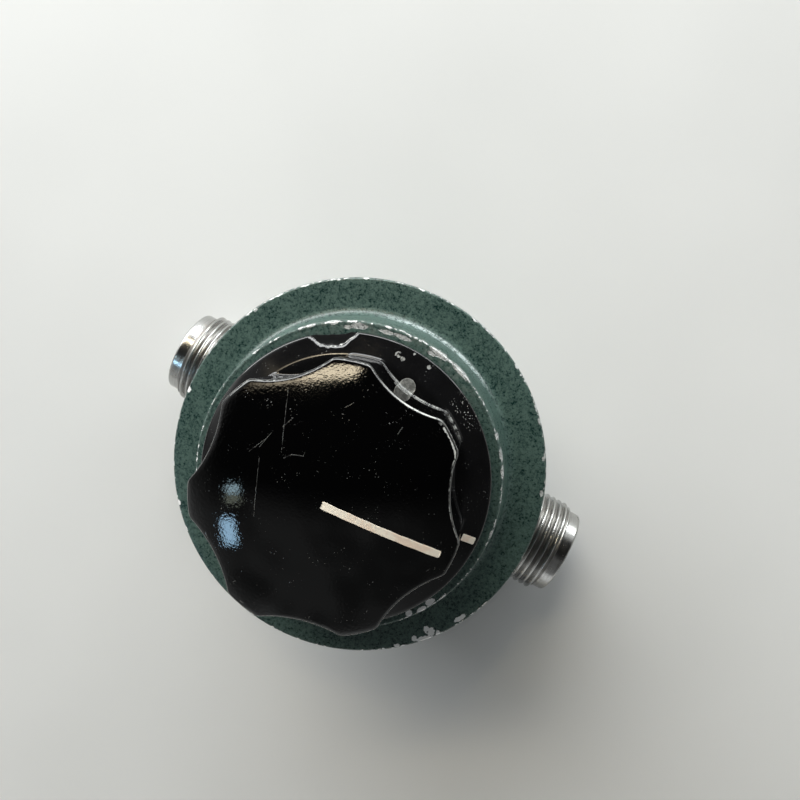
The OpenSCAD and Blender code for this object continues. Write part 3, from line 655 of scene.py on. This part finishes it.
SCRATCHES = (
    ((-9.6, 9.5), (-8.5, 7.1), 0.05), ((-8.5, 7.1), (-6.8, 3.3), 0.06),
    ((-8.7, 1.1), (-7.7, -1.3), 0.04), ((-7.7, -1.3), (-6.1, -5.2), 0.05),
    ((-6.1, 2.6), (-5.5, 3.4), 0.07), ((-5.5, 3.4), (-4.2, 3.9), 0.07),
    ((-4.2, 3.9), (-4.3, 4.6), 0.05), ((-10.2, 1.1), (-9.0, 3.6), 0.05),
    ((-8.0, 5.6), (-7.4, 7.1), 0.05), ((-2.7, 11.0), (-2.1, 11.9), 0.05),
    ((4.1, 11.2), (4.2, 12.1), 0.08), ((-9.3, 2.2), (-8.8, 4.6), 0.05),
    ((14.6, -1.5), (14.8, -1.1), 0.07), ((6.0, 2.5), (6.05, 2.85), 0.07),
    ((-10.6, -10.4), (-10.1, -10.9), 0.07), ((-3.1, -15.9), (-2.7, -16.0), 0.14),
    ((-4.9, -14.1), (-4.7, -13.8), 0.07))


# %% Knob material
def black_gloss():
    paint = Paint("black_moulded_plastic")
    vector, x, y, z, radius, azimuth = round_shaft(paint)
    shoulder, foot, broken = paint.mark("shoulder"), paint.mark("foot"), paint.mark("broken")
    ragged = paint.noise(vector, 0.7, 4, 0.7)
    coarse = paint.noise(vector, 2.2, 3, 0.6)
    dust = paint.noise(vector, 0.22, 1.5, 0.5)
    drift = (ragged - 0.5) * 0.5

    worn = abs(shoulder - 0.05 + drift * 0.3).ramp(0.20, 0.10) * between(azimuth, 62, 92, 3)
    worn = worn * (0.45 + between(azimuth, 64, 80, 6) * 0.55) * ragged.ramp(0.30, 0.42)
    # Painted reflection: a thin grey line along the shoulder of the upper left lobes, 93 to 160
    # degrees round, where the ceiling is mirrored.
    shoulder_sheen = abs(shoulder + 0.1 + drift * 0.3).ramp(0.10, 0.03) * between(azimuth, 93, 160, 6)
    shoulder_sheen = shoulder_sheen * ragged.ramp(0.48, 0.58) * 0.45
    inner = abs(shoulder + 0.3 + drift * 1.2).ramp(0.14, 0.05)
    inner = inner.most(abs(shoulder - 0.35 + drift * 1.2).ramp(0.14, 0.05))
    corner = inner * between(azimuth, 44, 61, 2) * ragged.ramp(0.40, 0.50)
    down = abs(shoulder + 0.1 + drift * 0.6).ramp(0.12, 0.04) * between(azimuth, 10, 44, 4)
    down = down * ragged.ramp(0.40, 0.6) * 0.45
    base = abs(foot - 0.1 + drift * 0.4).ramp(0.16, 0.07) * between(azimuth, 50, 92, 4)
    base = base * ragged.ramp(0.42, 0.56)
    outline = abs(broken + drift * 1.5 + coarse - 0.5).ramp(0.13, 0.04)
    outline = outline * z.ramp(KNOB_Z + 0.05, KNOB_Z + 0.25) * ragged.ramp(0.42, 0.54)
    outline = outline * between(azimuth, BREAK_AZ - 9, BREAK_AZ + 7, 2)
    white = worn.most(corner * 0.8).most(outline * 0.9)
    faint = shoulder_sheen.most(down).most(base * 0.45)
    on_skirt = z.ramp(FLUTE_Z + 2.5, FLUTE_Z + 1.5)
    wobble = (ragged - 0.5) * 2.2
    glue = near_spot(x, y, z, (1.75, 15.35, FLUTE_Z), 1.15)
    glue = glue.most(near_spot(x, y, z, (1.25, 14.75, FLUTE_Z + 3.0), 1.25))
    dried = 0.20 + ragged.ramp(0.4, 0.65) * 0.3 + abs(glue - 0.06).ramp(0.08, 0.0) * 0.4
    faint = faint.most((glue + drift * 0.5).ramp(0.0, 0.08) * dried)
    for place, angle, size in (
            (18.55, 94.2, 0.42), (18.25, 91.8, 0.3), (19.55, 88.5, 0.16), (19.2, 80.9, 0.28)):
        ring = patch(x, y, wobble, place, angle, size, size) * ragged.ramp(0.62, 0.45)
        faint = faint.most(ring * on_skirt * 0.45)
    specks = dust.ramp(0.64, 0.70) * between(azimuth, 51, 64, 3)
    specks = specks * radius.ramp(17.6, 18.2) * on_skirt
    motes = dust.ramp(0.68, 0.76) * coarse.ramp(0.50, 0.68) * 0.28
    scratched = 0
    for start, end, half in SCRATCHES:
        scratched = scratch(x, y, drift * 0.5, start, end, half) + scratched
    scratched = scratched * ragged.ramp(0.38, 0.6) * z.ramp(FACE_Z - 1, FACE_Z) * 0.16
    pale = white.most(faint).most(specks * 0.55).most(motes).most(scratched).least(1)

    film = on_skirt * (0.4 + coarse * 0.6)
    chipped = broken.ramp(0.0, 0.15) * on_skirt
    colour = paint.blend((0.0006, 0.0006, 0.0007, 1), (0.006, 0.006, 0.0065, 1), film)
    colour = paint.blend(colour, (0.56, 0.57, 0.55, 1), pale)
    smear = paint.noise(paint.stretch(vector, (1, 0.4, 1), (0, 0, 0.6)), 6, 3, 0.55)
    shiny = 0.03 + smear.ramp(0.45, 0.75) * 0.05 + film * 0.05 + chipped * 0.8
    roughness = shiny * (1 - pale) + pale * 0.5
    peel = paint.noise(vector, 0.38, 2, 0.6)
    relief = paint.bump(peel * z.ramp(FACE_Z - 0.5, FACE_Z + 0.3), 0.0105)
    relief = paint.bump(1 - pale, 0.03, relief)
    dead = chipped * (1 - pale) * 0.85
    return paint.surface(
        Base_Color=colour, Metallic=dead, Roughness=roughness, Normal=relief, IOR=1.5)


plastic = black_gloss()
moulding().piece("knob_moulding", "rotor", "black_plastic", plastic, ("knob",))

# %% [markdown]
# ## The pointer and the index mark
# The pointer is a groove in the face filled with cream paint, and the short mark on the skirt is
# the same. Each is a flat strip that follows the surface under it, a hair above it so that it
# shows cleanly, and sinks a little towards its middle as drying paint does.

# %% Cream filled lines
def filled_line(start, end, width, height):
    """A strip from radius start to end along the pointer. Its section is a superellipse, and its
    top follows height(radius)."""
    along = np.linspace(0, 1, 120)
    along = np.concatenate([along[:1], along, along[-1:]])
    taper = np.minimum(np.minimum(along, 1 - along) * (end - start) / (width * 0.22), 1)
    taper = np.sqrt(1 - (1 - taper) ** 2) * 0.22 + 0.78
    taper[0] = taper[-1] = 0.5
    t = angles(28)
    power = 0.45
    across = np.sign(np.cos(t)) * np.abs(np.cos(t)) ** power * width / 2
    up = np.sign(np.sin(t)) * np.abs(np.sin(t)) ** power
    r = (start + (end - start) * along)[:, None] + 0 * across
    side = taper[:, None] * across * (1 + 0.03 * np.sin(along * 37)[:, None])
    sink = 0.012 * (1 - (2 * across / width) ** 2)
    z = height(r) + np.where(up > 0, 0.028 * up - sink, 0.4 * up)
    c, s = math.cos(POINTER_AZ), math.sin(POINTER_AZ)
    grid = np.stack([r * c - side * s, r * s + side * c, z], -1)
    return Shell().add(grid, closed=False)


def cream_paint():
    paint = Paint("cream_filled_paint")
    vector = paint.place()[0]
    grain = paint.noise(vector, 0.25, 3, 0.6)
    stain = paint.noise(vector, 1.4, 3, 0.6)
    colour = paint.blend((0.94, 0.86, 0.73, 1), (0.86, 0.67, 0.53, 1), stain.ramp(0.46, 0.66) * 0.7)
    colour = paint.blend(colour, (0.45, 0.32, 0.24, 1), grain.ramp(0.62, 0.75) * 0.5)
    relief = paint.bump(grain, 0.02)
    return paint.surface(Base_Color=colour, Roughness=0.55 + grain * 0.15, Normal=relief)


cream = cream_paint()
filled_line(0.3, 15.1, 0.92, dome).piece(
    "pointer_inlay", "rotor", "cream_fill", cream, ("pointer_line",))
filled_line(17.7, 19.55, 1.0, skirt_top).piece(
    "index_mark", "rotor", "cream_fill", cream, ("skirt_mark",))

# %% [markdown]
# ## The jacks
# Each jack is screwed through the can's wall and has a hexagon, a coupling thread and a plain
# nose. The thread is a real helix: its height depends on how far along the axis a point is, less
# one pitch for each turn round it. The crests are rounded, as they are on a plated thread that
# has been used, and the thread runs out smoothly at both ends.

# %% Connector shell with a helical thread
def tooth(phase):
    """Height of the thread, 0 to 1, at a phase of 0 to 1 along one pitch: a 60 degree ridge in
    the middle with a rounded crest."""
    off = np.abs(phase - 0.5) * THREAD_PITCH
    flank = THREAD_DEPTH * math.tan(math.radians(30))
    rise = np.clip((THREAD_PITCH / 14 + flank - off) / flank, 0, 1)
    return rise * rise * (3 - 2 * rise) * 0.55 + rise * 0.45


def hexagon(theta):
    """Distance of a regular hexagon's side at theta, with flats across +-Z."""
    return HEX_FLATS / 2 / np.cos((theta + np.pi / 6) % (np.pi / 3) - np.pi / 6)


def jack_shell(side):
    """A jack on side 1 (right) or -1 (left). Its mark thread is 1 at the bottom of the thread."""
    place = sideways(side)
    theta = angles(168)
    root = THREAD_R - THREAD_DEPTH
    nose = JACK_TIP - PILOT_LEN
    front = HEX_X + HEX_T
    x = np.arange(front - 0.1, nose + 0.05, THREAD_PITCH / 12)[:, None]
    fade = np.clip((x - front - 0.35) / 0.5, 0, 1) * np.clip((nose - 0.02 - x) / 0.35, 0, 1)
    height = tooth(((x - front) / THREAD_PITCH - theta / (2 * np.pi)) % 1) * fade
    thread = root + THREAD_DEPTH * height
    nose_part = rounded([
        (root, nose - 0.02, 0), (PILOT_R, nose, 0.12), (PILOT_R, JACK_TIP, 0.4),
        (SOCKET_R, JACK_TIP, 0.3), (SOCKET_R, JACK_TIP - SOCKET_DEPTH, 0),
        (SOCKET_R, NECK_BACK, 0), (NECK_R, NECK_BACK, 0.2), (NECK_R, front - 0.1, 0)],
        closed=False, step=0.6)
    wall = np.concatenate([thread, nose_part[:, :1] + 0 * theta])
    along = np.concatenate([x, nose_part[:, 1:]]) + 0 * theta
    depth = np.concatenate([1 - height, np.zeros((len(nose_part), len(theta)))])
    shape = Shell().add(place(wall, along, theta), thread=depth)
    near = [0, 0.08, 0.2, 0.36, 0.8]
    across = np.array(near + [HEX_T - step for step in reversed(near)])
    chamfer = HEX_FLATS / 2 - 0.12 + 1.9 * np.minimum(across, HEX_T - across)
    body = np.minimum(hexagon(theta), chamfer[:, None])
    inner = np.full((1, len(theta)), NECK_R + 0.02)
    sides = np.concatenate([inner, body, inner])
    along = HEX_X + np.concatenate([[0], across, [HEX_T]])[:, None] + 0 * theta
    return shape.add(place(sides, along, theta))


# %% [markdown]
# Bright nickel is a mirror with a little haze. Its grey streaks run round the jack, because the
# part was turned, and its colour is darker and duller at the bottom of the thread and in
# patches. The streaks are noise that is stretched round the axis, which the distance from it
# gives cheaply: noise of that distance and of the place along the axis hardly changes round a
# ring.

# %% Nickel plate
def nickel():
    paint = Paint("worn_nickel_plate")
    vector, x, y, z = paint.place()
    height = z - JACK_Z * MM
    reach = (y * y + height * height) ** 0.5
    rings = paint.node("ShaderNodeCombineXYZ", None, {"X": abs(x), "Y": reach, "Z": y * 0.04})
    turned = paint.noise(rings, 0.16, 3, 0.6)
    haze = paint.noise(vector, 1.6, 4, 0.6)
    pits = paint.noise(vector, 0.35, 3, 0.6)
    # Darker and rougher at the bottom of the thread, and in patches from the haze noise.
    thread_root = paint.mark("thread").ramp(0.55, 1.0)
    root_and_patch_dark = (thread_root * 0.75 + (haze - 0.5) * 0.8).ramp(0.25, 0.8)
    dull = haze.ramp(0.5, 0.75)
    tarnish = dull * 0.7 + turned.ramp(0.5, 0.68) * 0.5
    colour = paint.blend((0.47, 0.47, 0.46, 1), (0.30, 0.285, 0.26, 1), tarnish)
    colour = paint.blend(colour, (0.13, 0.12, 0.11, 1), root_and_patch_dark * 0.75)
    roughness = 0.15 + turned * 0.10 + dull * 0.12 + root_and_patch_dark * 0.22
    relief = paint.bump(turned * 0.7 + pits * 0.3, 0.030)
    return paint.surface(Base_Color=colour, Metallic=1.0, Roughness=roughness, Normal=relief)


plate = nickel()
jack_shell(1).piece(
    "right_jack_shell", "housing_assembly", "nickel_plate", plate, ("right_connector_shell",))
jack_shell(-1).piece(
    "left_jack_shell", "housing_assembly", "nickel_plate", plate, ("left_connector_shell",))

# %% [markdown]
# ## The parts that stay as they are
# The other nodes of the CAD model already have the right shape: the cover and its screws, the
# insulators and contacts, and the plates and shaft inside. Each one gets a finish by the slot
# that the record names for it. A metal is the same recipe with another colour and grain, so one
# function makes them all.

# %% Finishes for the remaining nodes
def metal(name, colour, tarnish, roughness, grain_mm, depth_mm, stretch=(1, 1, 1)):
    """A metal with grain in its roughness and relief, and patches of tarnish."""
    paint = Paint(name)
    vector = paint.place()[0]
    grain = paint.noise(paint.stretch(vector, stretch), grain_mm, 3, 0.6)
    cloud = paint.noise(vector, 3.5, 4, 0.6)
    tint = paint.blend((*colour, 1), (*tarnish, 1), cloud.ramp(0.42, 0.72))
    tint = paint.blend(tint, (*tarnish, 1), grain.ramp(0.55, 0.75) * 0.5)
    shine = roughness + grain * 0.12 + cloud.ramp(0.4, 0.7) * 0.10
    relief = paint.bump(grain, depth_mm)
    return paint.surface(Base_Color=tint, Metallic=1.0, Roughness=shine, Normal=relief)


def matt(name, colour, mottle, roughness, grain_mm, depth_mm):
    """A plastic, rubber or ceramic with a fine grain and slight mottling."""
    paint = Paint(name)
    vector = paint.place()[0]
    grain = paint.noise(vector, grain_mm, 3, 0.6)
    cloud = paint.noise(vector, 2.5, 3)
    tint = paint.blend((*colour, 1), (*mottle, 1), (grain * 0.4 + cloud * 0.6).ramp(0.4, 0.65))
    relief = paint.bump(grain, depth_mm)
    return paint.surface(Base_Color=tint, Roughness=roughness + grain * 0.12, Normal=relief)


finishes = {
    "green_enamel": enamel,
    "black_plastic": plastic,
    "cream_fill": cream,
    "nickel_plate": metal(
        "nickel_plate_plain", (0.72, 0.71, 0.69), (0.46, 0.44, 0.40), 0.18, 0.3, 0.01),
    "aluminium_plate": metal(
        "spun_aluminium", (0.77, 0.775, 0.78), (0.58, 0.585, 0.59), 0.26, 0.2, 0.012, (1, 0.05, 1)),
    "steel_screws": metal(
        "zinced_steel", (0.62, 0.62, 0.61), (0.40, 0.39, 0.36), 0.24, 0.25, 0.012),
    "gold_plate": metal(
        "gold_plated_contact", (0.90, 0.68, 0.32), (0.68, 0.46, 0.20), 0.16, 0.2, 0.006),
    "brass": metal("turned_brass", (0.80, 0.61, 0.30), (0.48, 0.33, 0.15), 0.22, 0.25, 0.012),
    "copper": metal("dull_copper", (0.80, 0.42, 0.27), (0.40, 0.20, 0.13), 0.26, 0.3, 0.012),
    "blued_steel": metal(
        "blackened_steel", (0.055, 0.055, 0.06), (0.12, 0.10, 0.08), 0.34, 0.2, 0.012),
    "ptfe": matt("white_insulator", (0.80, 0.80, 0.77), (0.70, 0.69, 0.65), 0.38, 0.2, 0.008),
    "steatite": matt("unglazed_ceramic", (0.74, 0.71, 0.64), (0.66, 0.62, 0.54), 0.55, 0.15, 0.015),
    "gasket_rubber": matt(
        "gasket_rubber", (0.012, 0.012, 0.012), (0.022, 0.022, 0.021), 0.6, 0.2, 0.02),
}
for entry in frame["record"]["subparts"]:
    node = frame["nodes"][entry["node"]]
    node.data.materials.clear()
    node.data.materials.append(finishes[entry["material_slot"]])

# %% [markdown]
# ## Light
# A glossy black knob is lit by what it mirrors. The room is therefore a colour for each
# direction: dark above the part, where its face looks, and bright low down on the upper side,
# from where soft light rakes across the flange and leaves the knob's shadow below it. A dim pale
# band on the other side shows as the faint sheen at the bottom of the face.

# %% The room
UP = Vector((-0.405, 0.862, 0.303)).normalized()
world = bpy.data.worlds.new("room")
bpy.context.scene.world = world
room = Paint("room", world)
direction = room.node("ShaderNodeTexCoord", out="Generated")


def towards(vector):
    """How far a direction points along vector, from -1 to 1."""
    inputs = {0: direction, 1: tuple(vector)}
    return room.node("ShaderNodeVectorMath", {"operation": "DOT_PRODUCT"}, inputs, "Value")


above, upward = towards((0, 0, 1)), towards(UP)
rightward = towards((0.878, 0.471, -0.090))
ceiling = upward.ramp(0.0, 0.5) * above.ramp(0.64, 0.42) * 1.35
table = upward.ramp(0.20, -0.12) * (0.15 + above.ramp(0.55, 0.3) * 0.60)
clutter = room.noise(direction, 450, 2, 0.6)
uneven = 0.55 + clutter.ramp(0.40, 0.60) * 0.75
level = (ceiling + table) * uneven * (1 - rightward.ramp(0.0, 0.8) * 0.55) + 0.010
sky = room.blend((0.99, 1.0, 0.99, 1), (0.97, 0.995, 0.99, 1), upward.ramp(0.1, -0.3))
background = room.node("ShaderNodeBackground", None, {"Color": sky, "Strength": level})

# %% [markdown]
# One long warm reflection follows the upper left edge of the knob's face, bright on the top lobe
# and fainter on the next. A strip light high on that side makes it. In terms of directions it is
# a band: it lies between two parallel planes, and it ends where the wall of the room does.

# %% The strip light
BAND = Vector((0.501, -0.768, 0.400))
across_band, along_band = towards(BAND), towards((1, 0, 0))
strip = across_band.ramp(-0.198, -0.222) * across_band.ramp(-0.292, -0.270) * above.ramp(0.59, 0.74)
strip = strip * along_band.ramp(-0.24, -0.28) * (1 - along_band.ramp(-0.50, -0.60) * 0.6)
amber = {"Color": (1.0, 0.86, 0.62, 1), "Strength": strip * 18}
warm = room.node("ShaderNodeBackground", None, amber)
both = room.node("ShaderNodeAddShader", None, {0: background, 1: warm})
room.node("ShaderNodeOutputWorld", None, {"Surface": both})
print("world nodes", len(world.node_tree.nodes))

# %% [markdown]
# ## Camera and lamps
# The camera looks down at the part, nearly along its shaft. Two lamps light the part: a large
# soft key from the upper side, and a low window beside the boss; the bright line on the boss's
# fillet is a painted highlight in the enamel.
# Three small panes only show in reflections, as the blue patches on the face. A pane is placed
# by its reflection: the view of three points of the face is mirrored there, and these
# directions give its corners.

# %% Camera
camera_place = Vector((7.0, 23.76, 147.71)) * MM
camera_data = bpy.data.cameras.new("camera")
camera_data.sensor_width = 36
camera_data.lens = 36.05
camera_data.clip_start = 0.005
camera = bpy.data.objects.new("camera", camera_data)
camera.location = camera_place
camera.rotation_euler = [math.radians(a) for a in (-3.627, 5.181, 28.196)]
bpy.context.scene.collection.objects.link(camera)
bpy.context.scene.camera = camera
bpy.context.scene.view_settings.view_transform = "Standard"


# %% Lamps
def lamp(name, aim, corner, beside, below, distance_mm, radiance, colour, lights=True):
    """A rectangular lamp distance_mm from the point aim. The three directions are its corner and
    the corners next to that one, across and down. Without lights it only shows in reflections."""
    corner, beside, below = (
        Vector(aim) + Vector(d).normalized() * distance_mm for d in (corner, beside, below))
    across = (beside - corner).normalized()
    facing = (Vector(aim) - (beside + below) / 2).normalized()
    across = (across - across.dot(facing) * facing).normalized()
    up = across.cross(facing)
    data = bpy.data.lights.new(name, "AREA")
    data.shape = "RECTANGLE"
    data.size, data.size_y = (beside - corner).length * MM, (below - corner).length * MM
    data.energy = radiance * math.pi * data.size * data.size_y
    data.color = colour
    made = bpy.data.objects.new(name, data)
    made.location = (beside + below) / 2 * MM
    made.rotation_euler = Matrix((across, up, -facing)).transposed().to_euler()
    made.visible_camera = False
    made.visible_diffuse = lights
    bpy.context.scene.collection.objects.link(made)


def mirrored(x, y):
    """The direction that the dome over x, y mirrors to the camera: the view v and the normal n
    give v - 2 (v . n) n."""
    point = Vector((x, y, float(dome(math.hypot(x, y)))))
    slope = 2 * DOME_H / KNOB_R ** 2
    normal = Vector((slope * x, slope * y, 1)).normalized()
    view = (point * MM - camera_place).normalized()
    return view - 2 * view.dot(normal) * normal


face = (-9, -6, FACE_Z + 2)
PANES = (
    ("upper_pane", (-10.9, -3.7), (-9.4, -2.8), (-10.45, -4.6), 7.5, (0.62, 0.88, 1.0)),
    ("lower_part", (-10.4, -4.9), (-8.7, -3.9), (-9.9, -5.7), 2.0, (0.90, 1.0, 0.80)),
    ("lower_pane", (-9.5, -7.7), (-7.95, -6.8), (-7.9, -10.6), 11.5, (0.45, 0.74, 1.0)))
for name, *spots, radiance, colour in PANES:
    lamp(name, face, *(mirrored(*spot) for spot in spots), 400, radiance, colour, False)
lamp("window", (0, 0, 30), (-0.25, 0.97, 0.17), (0.45, 0.86, 0.17), (-0.25, 0.97, -0.01),
     700, 13.5, (0.95, 1.0, 1.0))
lamp("key", (0, 0, 40), (-0.93, 0.10, 0.46), (-0.15, 0.90, 0.46), (-0.97, 0.10, 0.16),
     800, 11.0, (0.975, 1.0, 0.995))

# %% [markdown]
# ## Floor
# The part stands on a pale, slightly glossy table. It belongs to the stage, not to the object.

# %% Table top
def table_top():
    paint = Paint("pale_table")
    vector = paint.place()[0]
    shade = paint.noise(vector, 60, 2)
    colour = paint.blend((0.70, 0.71, 0.71, 1), (0.74, 0.75, 0.75, 1), shade.ramp(0.3, 0.7))
    return paint.surface(Base_Color=colour, Roughness=0.62 + shade * 0.06)


reach = 1.5
floor_mesh = bpy.data.meshes.new("table_top")
corners = [(-reach, -reach, 0), (reach, -reach, 0), (reach, reach, 0), (-reach, reach, 0)]
floor_mesh.from_pydata(corners, [], [(0, 1, 2, 3)])
floor_mesh.materials.append(table_top())
floor = bpy.data.objects.new("table_top", floor_mesh)
bpy.context.scene.collection.objects.link(floor)
